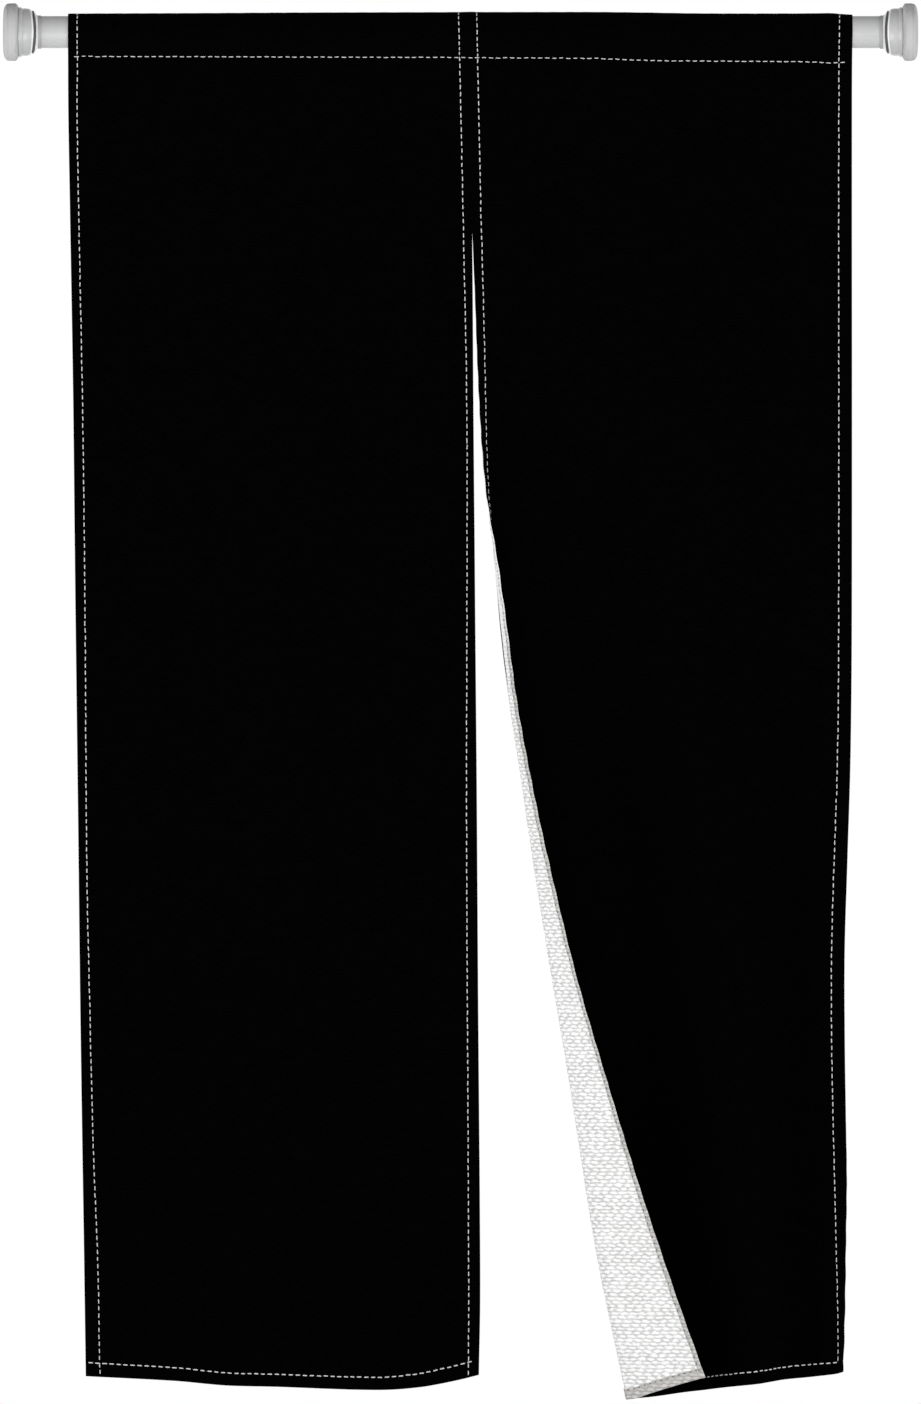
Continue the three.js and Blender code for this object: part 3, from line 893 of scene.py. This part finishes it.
def sums(tree, operation, *values, clamp=False):
    made = node(tree, "Math", operation=operation, use_clamp=clamp)
    for socket, value in zip(made.inputs, values):
        feed(tree, socket, value)
    return made.outputs[0]


def soft_step(tree, value, low, high, start=0.0, end=1.0):
    made = node(tree, "MapRange", interpolation_type="SMOOTHSTEP")
    for name, number in (("From Min", low), ("From Max", high), ("To Min", start), ("To Max", end)):
        made.inputs[name].default_value = number
    feed(tree, made.inputs["Value"], value)
    return made.outputs["Result"]


def times(tree, vector, factors):
    made = node(tree, "VectorMath", operation="MULTIPLY")
    feed(tree, made.inputs[0], vector)
    feed(tree, made.inputs[1], factors)
    return made.outputs[0]


def noise(tree, vector, scale, detail=2.0, rough=0.5):
    made = node(tree, "TexNoise")
    feed(tree, made.inputs["Vector"], vector)
    feed(tree, made.inputs["Scale"], scale)
    feed(tree, made.inputs["Detail"], detail)
    feed(tree, made.inputs["Roughness"], rough)
    return made


def blend(tree, factor, first, second):
    made = node(tree, "Mix", data_type="RGBA")
    feed(tree, made.inputs[0], factor)
    feed(tree, made.inputs[6], first)
    feed(tree, made.inputs[7], second)
    return made.outputs[2]


def parts_of(tree, vector):
    """The outputs X, Y and Z of a vector."""
    made = node(tree, "SeparateXYZ")
    feed(tree, made.inputs[0], vector)
    return made.outputs


def group_with(name, inputs, outputs):
    """A new node group with its named sockets, and its two end nodes."""
    group = bpy.data.node_groups.new(name, "ShaderNodeTree")
    for socket, kind, value in inputs:
        made = group.interface.new_socket(name=socket, in_out="INPUT", socket_type="NodeSocket" + kind)
        if value is not None:
            made.default_value = value
    for socket in outputs:
        group.interface.new_socket(name=socket, in_out="OUTPUT", socket_type="NodeSocketFloat")
    return group, group.nodes.new("NodeGroupInput"), group.nodes.new("NodeGroupOutput")


def slub_weave():
    """Slubby weave on the cloth's own width and length in metres: flat lens-shaped cells in offset rows.
    Weave is the height of the yarns, Slub the unevenness from cell to cell."""
    group, given, result = group_with(
        "slub weave",
        (
            ("Cloth", "Vector", None),
            ("Cell Length", "Float", 0.0108),
            ("Row Height", "Float", 0.0041),
            ("Waver", "Float", 0.0036),
        ),
        ("Weave", "Slub"),
    )
    cloth = given.outputs["Cloth"]
    drift = node(group, "VectorMath", operation="SUBTRACT")
    feed(group, drift.inputs[0], noise(group, cloth, DRIFT_SCALE).outputs["Color"])
    drift.inputs[1].default_value = (0.5, 0.5, 0.5)
    scaled = node(group, "VectorMath", operation="SCALE")
    feed(group, scaled.inputs[0], drift.outputs[0])
    feed(group, scaled.inputs["Scale"], given.outputs["Waver"])
    moved = node(group, "VectorMath", operation="ADD")
    feed(group, moved.inputs[0], cloth)
    feed(group, moved.inputs[1], scaled.outputs[0])
    parts = parts_of(group, moved.outputs[0])

    row_place = sums(group, "DIVIDE", parts["Y"], given.outputs["Row Height"])
    row = sums(group, "FLOOR", row_place)
    uneven = node(group, "TexWhiteNoise", noise_dimensions="1D")
    feed(group, uneven.inputs["W"], row)
    shift = sums(group, "MULTIPLY_ADD", uneven.outputs["Value"], 0.3, sums(group, "MULTIPLY", row, 0.5))
    cell_place = sums(group, "DIVIDE", parts["X"], given.outputs["Cell Length"])
    cell_place = sums(group, "ADD", cell_place, shift)
    in_cell = sums(group, "MULTIPLY_ADD", sums(group, "FRACT", cell_place), 2.0, -1.0)
    in_row = sums(group, "MULTIPLY_ADD", sums(group, "FRACT", row_place), 2.0, -1.0)

    which = node(group, "CombineXYZ")
    feed(group, which.inputs[0], sums(group, "FLOOR", cell_place))
    feed(group, which.inputs[1], row)
    slub = node(group, "TexWhiteNoise", noise_dimensions="2D")
    feed(group, slub.inputs["Vector"], which.outputs[0])
    feed(group, result.inputs["Slub"], slub.outputs["Value"])

    in_cell = sums(group, "MULTIPLY", in_cell, 0.85)
    flat = sums(group, "MULTIPLY", in_row, in_row)
    from_middle = sums(group, "SQRT", sums(group, "MULTIPLY_ADD", in_cell, in_cell, flat))
    worn = noise(group, times(group, cloth, WORN_SCALE), 1.0, 1.0).outputs[0]
    from_middle = sums(group, "ADD", from_middle, sums(group, "MULTIPLY_ADD", worn, 1.1, -0.55))
    cell = soft_step(group, from_middle, 0.1, 1.25, 0.8, 0.0)
    cell = sums(group, "MULTIPLY", cell, sums(group, "MULTIPLY_ADD", slub.outputs["Value"], 0.4, 0.8))
    yarn = noise(group, times(group, cloth, YARN_SCALE), 1.0, 1.0).outputs[0]
    feed(group, result.inputs["Weave"], sums(group, "MULTIPLY_ADD", yarn, 0.36, cell))
    return group


def fine_grain():
    """Grain and faint rub marks of a moulded or painted surface on object coordinates.
    Grain is the height of the fine texture, Rub a mask of duller patches."""
    group, given, result = group_with(
        "fine grain",
        (("Place", "Vector", None), ("Grain Size", "Float", 0.0006), ("Stretch", "Vector", (1.0, 1.0, 1.0))),
        ("Grain", "Rub"),
    )
    stretched = times(group, given.outputs["Place"], given.outputs["Stretch"])
    fine = noise(group, stretched, sums(group, "DIVIDE", 1.0, given.outputs["Grain Size"]), 2.0, 0.6)
    feed(group, result.inputs["Grain"], fine.outputs[0])
    marks = noise(group, stretched, 55.0, 5.0, 0.65)
    feed(group, result.inputs["Rub"], soft_step(group, marks.outputs[0], 0.48, 0.68))
    return group


def material(name, roughness, specular, sheen=0.0, coat=0.0):
    """A new material's tree and its surface shader, with the values that are the same all over."""
    made = bpy.data.materials.new(name)
    made.use_nodes = True
    shader = made.node_tree.nodes["Principled BSDF"]
    shader.inputs["Roughness"].default_value = roughness
    shader.inputs["Specular IOR Level"].default_value = specular
    shader.inputs["Sheen Weight"].default_value = sheen
    shader.inputs["Sheen Roughness"].default_value = 0.5
    shader.inputs["Coat Weight"].default_value = coat
    shader.inputs["Coat Roughness"].default_value = 0.25
    return made, made.node_tree, shader


def raised(tree, shader, height, distance, strength):
    bump = node(tree, "Bump")
    bump.inputs["Distance"].default_value = distance
    bump.inputs["Strength"].default_value = strength
    feed(tree, bump.inputs["Height"], height)
    feed(tree, shader.inputs["Normal"], bump.outputs[0])


def use(tree, group, **values):
    made = node(tree, "Group", node_tree=group)
    for name, value in values.items():
        feed(tree, made.inputs[name.replace("_", " ")], value)
    return made


def hem_looks(tree, colour, cloth, height, hem, depth, inner_hem):
    """A hem's reverse: painted shade darker by its stitching, and stained, but pale high up and behind the
    fold, where no shade is painted.
    """
    # Painted shade: darker towards the stitching, where the hem's raised step shades it
    colour = blend(tree, soft_step(tree, hem["X"], *SHADE_BY_STITCHING, 0.0, 0.5), colour, inner_hem)
    stain = noise(tree, times(tree, cloth, STAIN_SCALE), 1.0, 2.0).outputs[0]
    colour = blend(tree, soft_step(tree, stain, 0.45, 0.65, 0.0, 0.5), colour, inner_hem)
    # No painted shade high up and behind the fold: there the hem is painted pale
    high_up = soft_step(tree, depth, *HEMS_PALE_OVER, 0.0, 0.9)
    behind = soft_step(tree, hem["Y"], *BEHIND_FOLD, 0.75, 0.0)
    pale = blend(tree, soft_step(tree, height, *YARN_SHOWS), PALE_HEM_GAP, PALE_HEM_YARN)
    return blend(tree, sums(tree, "MAXIMUM", high_up, behind), colour, pale)


def fold_looks(tree, colour, hem, depth, yarn, painted_fold_shade):
    """The turned part's reverse: painted light, paler where it starts, and painted shade, a dark line for a
    short way along its fold.
    """
    # Painted light: the weave's gaps lifted to the yarn's colour high up, where the turned part stands edge-on
    # and gets less light
    painted_light = soft_step(tree, depth, *FLAP_PAINTED_LIGHT_OVER, 0.0, 0.6)
    painted_light = sums(tree, "MULTIPLY", soft_step(tree, hem["Y"], *ON_FLAP), painted_light)
    colour = blend(tree, painted_light, colour, yarn)
    # Painted shade: a thin dark line just past the fold's outermost line, over a short height, for the shade at
    # the fold's edge
    from_line = sums(tree, "ABSOLUTE", sums(tree, "ADD", hem["Y"], -PAINTED_SHADE_LINE))
    beside = soft_step(tree, from_line, *PAINTED_SHADE_LINE_FADES, 1.0, 0.0)
    from_darkest = sums(tree, "ABSOLUTE", sums(tree, "ADD", depth, -PAINTED_SHADE_DEPTH))
    worn = sums(tree, "MULTIPLY", beside, soft_step(tree, from_darkest, *PAINTED_SHADE_FADES, 1.0, 0.0))
    return blend(tree, worn, colour, painted_fold_shade)


def cloth_material(name, weave, colours, depth, surface, inner_hem=None, painted_fold_shade=None):
    """Woven cloth: the colours are the raised yarns', the gaps' between them and the uneven cells', surface
    its roughness, specular level and sheen, inner_hem the painted shade beside a hem's stitching, also used for
    its stains, and the last colour that of the painted shade line along the fold's outermost line."""
    yarn, gap, tint = colours
    roughness, specular, sheen = surface
    made, tree, shader = material(name, roughness, specular, sheen)
    place = node(tree, "UVMap", uv_map="cloth").outputs[0]
    cloth = times(tree, place, (UV_SPAN, UV_SPAN, 1.0))
    woven = use(tree, weave, Cloth=cloth)
    height = woven.outputs["Weave"]
    colour = blend(tree, soft_step(tree, height, *YARN_SHOWS), gap, yarn)
    patchy = sums(tree, "MULTIPLY", woven.outputs["Slub"], 0.3)
    colour = blend(tree, patchy, colour, tint)
    if inner_hem or painted_fold_shade:
        hem = parts_of(tree, node(tree, "UVMap", uv_map="hem").outputs[0])
        down = parts_of(tree, node(tree, "TexCoord").outputs["Object"])["Z"]
    if inner_hem:
        colour = hem_looks(tree, colour, cloth, height, hem, down, inner_hem)
    if painted_fold_shade:
        colour = fold_looks(tree, colour, hem, down, yarn, painted_fold_shade)
    feed(tree, shader.inputs["Base Color"], colour)
    rough = soft_step(tree, height, 0.0, 1.0, roughness + 0.05, roughness - 0.05)
    feed(tree, shader.inputs["Roughness"], rough)
    raised(tree, shader, height, depth, 0.6)
    return made


def thread_material(name, bright, dark):
    """Plied thread, its twist running round each stitch."""
    made, tree, shader = material(name, 0.7, 0.3, 0.1)
    parts = parts_of(tree, node(tree, "UVMap", uv_map="thread").outputs[0])
    along = sums(tree, "MULTIPLY", parts["X"], TWISTS_PER_MM)
    twist = sums(tree, "MULTIPLY_ADD", parts["Y"], PLIES, along)
    wound = sums(tree, "SINE", sums(tree, "MULTIPLY", twist, 2 * math.pi))
    ply = sums(tree, "MULTIPLY_ADD", wound, 0.5, 0.5)
    feed(tree, shader.inputs["Base Color"], blend(tree, ply, grey(dark), grey(bright)))
    raised(tree, shader, ply, 0.00012, 0.5)
    return made


def hard_material(name, grain, light, dull, gloss, size, depth, stretch=EVEN, coat=0.0):
    """Paint, moulded plastic or rubber: light is its clean colour, dull the colour where it is rubbed, gloss
    its roughness and specular level, size, depth and stretch its grain."""
    roughness, specular = gloss
    made, tree, shader = material(name, roughness, specular, 0.0, coat)
    place = node(tree, "TexCoord").outputs["Object"]
    worked = use(tree, grain, Place=place, Grain_Size=size, Stretch=stretch)
    colour = blend(tree, worked.outputs["Rub"], light, dull)
    speckle = sums(tree, "MULTIPLY", worked.outputs["Grain"], 0.12)
    colour = blend(tree, speckle, colour, dull)
    feed(tree, shader.inputs["Base Color"], colour)
    rougher = soft_step(tree, worked.outputs["Rub"], 0.0, 1.0, roughness, min(1.0, roughness + 0.14))
    feed(tree, shader.inputs["Roughness"], rougher)
    raised(tree, shader, worked.outputs["Grain"], depth, 0.5)
    return made


def camera():
    """The photograph's frontal view from far off, framed as the photograph is."""
    height = FRAME_HEIGHT_PX * PIXEL
    lens = bpy.data.cameras.new("front_view")
    lens.lens, lens.sensor_width = LENS, SENSOR
    lens.clip_start, lens.clip_end = 1.0, 120.0
    view = bpy.data.objects.new("front_view", lens)
    middle_x = (FRAME_WIDTH_PX / 2 - LEFT_PAD_PX) * PIXEL
    middle_z = (ROD_AXIS_PX - FRAME_HEIGHT_PX / 2) * PIXEL
    view.location = (middle_x, -height * LENS / SENSOR, middle_z)
    view.rotation_euler = (math.pi / 2, 0, 0)
    bpy.context.collection.objects.link(view)
    bpy.context.scene.camera = view


def studio():
    """A white room, dimmer overhead, three large soft lights in front, and a plain pale floor."""
    scene = bpy.context.scene
    scene.view_settings.view_transform = "Standard"
    world = bpy.data.worlds.new("white_room")
    scene.world = world
    world.use_nodes = True
    tree = world.node_tree
    height = parts_of(tree, node(tree, "TexCoord").outputs["Generated"])["Z"]
    light = soft_step(tree, height, 0.12, 0.85, 1.0, 0.3)
    feed(tree, tree.nodes["Background"].inputs["Strength"], light)
    tree.nodes["Background"].inputs["Color"].default_value = (1, 1, 1, 1)

    for name, place, size, power in (
        ("low_front_light", (-0.7, -3.4, -1.7), 2.2, 50),
        ("right_fill_light", (3.2, -2.6, -1.2), 2.0, 42),
        ("left_fill_light", (-3.2, -1.6, -0.9), 2.0, 27),
    ):
        lamp = bpy.data.lights.new(name, "AREA")
        lamp.size, lamp.energy = size, power
        made = bpy.data.objects.new(name, lamp)
        made.location = place
        aim = Vector((0.5, 0, -0.6)) - Vector(place)
        made.rotation_euler = aim.to_track_quat("-Z", "Y").to_euler()
        made.visible_camera = False
        bpy.context.collection.objects.link(made)

    bpy.ops.object.select_all(action="DESELECT")
    bpy.ops.mesh.primitive_circle_add(
        vertices=128, radius=FLOOR_RADIUS, fill_type="NGON", location=(SPAN / 2, 0, FLOOR_DEPTH)
    )
    bpy.ops.object.transform_apply(location=True, rotation=True, scale=True)
    floor = bpy.context.object
    floor.name = "studio_floor"
    paint, tree, shader = material("pale_floor", 0.8, 0.2)
    wash = noise(tree, node(tree, "TexCoord").outputs["Object"], 3.0, 3.0).outputs[0]
    feed(tree, shader.inputs["Base Color"], blend(tree, wash, grey(0.8), grey(0.84)))
    floor.data.materials.append(paint)


def dress(piece, node_name, paint=None):
    """Sets a piece on the body in place of its CAD node."""
    if paint:
        piece.data.materials.clear()
        piece.data.materials.append(paint)
    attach(piece, "root")
    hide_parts(node_name)


def paint_past(piece, right, start, paint):
    """Gives the faces further from the wall than start, in millimetres, another paint."""
    piece.data.materials.append(paint)
    for face in piece.data.polygons:
        x = (SPAN - face.center.x if right else face.center.x) / MM
        if x - bowed(x, face.center.z) > start:
            face.material_index = 1


def rod(grain):
    """The tube with the pad, cap, ring and collar at each end, and their paints."""
    satin, drawn, brushed = (0.36, 0.45), (0.25, 1.0, 1.0), (1.6, 1.0, 0.16)
    tube_paint = hard_material(
        "satin_rod_paint", grain, grey(0.48, -0.006), grey(0.445), satin, 0.0012, 0.00002, drawn
    )
    cap_paint = hard_material(
        "moulded_cap", grain, grey(0.44, -0.01), grey(0.4), satin, 0.0005, 0.00004, coat=0.8
    )
    pad_paint = hard_material(
        "soft_wall_pad", grain, grey(0.455), grey(0.385, 0.004), (0.66, 0.3), 0.0016, 0.00016, brushed
    )
    ring_paint = hard_material("grip_ring", grain, grey(0.07), grey(0.1), (0.6, 0.35), 0.0004, 0.00006)
    # Near-white collar plastic, also put on each cap's lip as a painted highlight
    collar_and_lip_highlight_paint = hard_material(
        "collar_plastic_and_lip_highlight", grain, grey(0.8), grey(0.72), (0.34, 0.5), 0.0005, 0.00002
    )
    # The collar's sleeve is a real step; its darker grey is painted shade where the collar meets the tube
    sleeve_shade_paint = hard_material(
        "collar_sleeve_shade", grain, grey(0.36), grey(0.33), (0.4, 0.4), 0.0005, 0.00002
    )

    dress(tube(), "rod_tube", tube_paint)
    for side, right in (("left", False), ("right", True)):
        dress(turned("end_pad_" + side, PAD, False, right, 0.0004), "pad_" + side, pad_paint)
        cap = turned("cap_body_" + side, CAP, False, right)
        dress(cap, "cap_" + side, cap_paint)
        # Painted highlight: the cap's lip beside the ring gets the collar's near-white paint
        paint_past(cap, right, LIP_HIGHLIGHT_START, collar_and_lip_highlight_paint)
        dress(turned("o_ring_" + side, RING, True, right, 0.00015), "ring_" + side, ring_paint)
        collar = turned("tube_collar_" + side, COLLAR, True, right)
        dress(collar, "collar_" + side, collar_and_lip_highlight_paint)
        # Painted shade: the sleeve gets a darker grey than the collar and the tube
        paint_past(collar, right, SLEEVE_SHADE_START, sleeve_shade_paint)


def curtain():
    """Both panels with their sewing."""
    weave = slub_weave()
    ink = grey(0.0007), grey(0.0003), grey(0.001)
    undyed = grey(0.98), grey(0.5, 0.004), grey(0.86)
    # Painted shade: the turned hem's reverse is painted greyer, a little warm, for the shade on the thick hem
    hem_shade_colours = grey(0.66, 0.02), grey(0.3, 0.03), grey(0.47, 0.03)
    black = cloth_material("black_cloth_front", weave, ink, 0.00025, (0.93, 0.003, 0.004))
    matt = (0.92, 0.15, 0.0)
    # The dark grey along the fold's outermost line on the reverse is painted shade
    white = cloth_material("white_cloth_reverse", weave, undyed, 0.0002, matt, painted_fold_shade=grey(0.03))
    # Painted shade: the hem's greyer colours, and the darker grey beside its stitching
    hems = cloth_material("turned_hem_reverse", weave, hem_shade_colours, 0.00008, matt, grey(0.43, 0.03))
    threads = (
        thread_material("white_sewing_thread", 0.68, 0.52),
        # Painted shade: the stitches on the reverse are white thread, painted dark grey for their shadows
        thread_material("reverse_thread_shade", 0.16, 0.07),
    )
    shape = stitch_shape()
    for panel in (LEFT, RIGHT):
        surface = Surface(panel)
        cloth = cloth_panel(panel, surface, (black, white, hems))
        dress(cloth, panel.node)
        sewn = stitching(panel, surface, shape, threads)
        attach(sewn, "root")
    bpy.data.objects.remove(shape)


camera()
studio()
rod(fine_grain())
curtain()
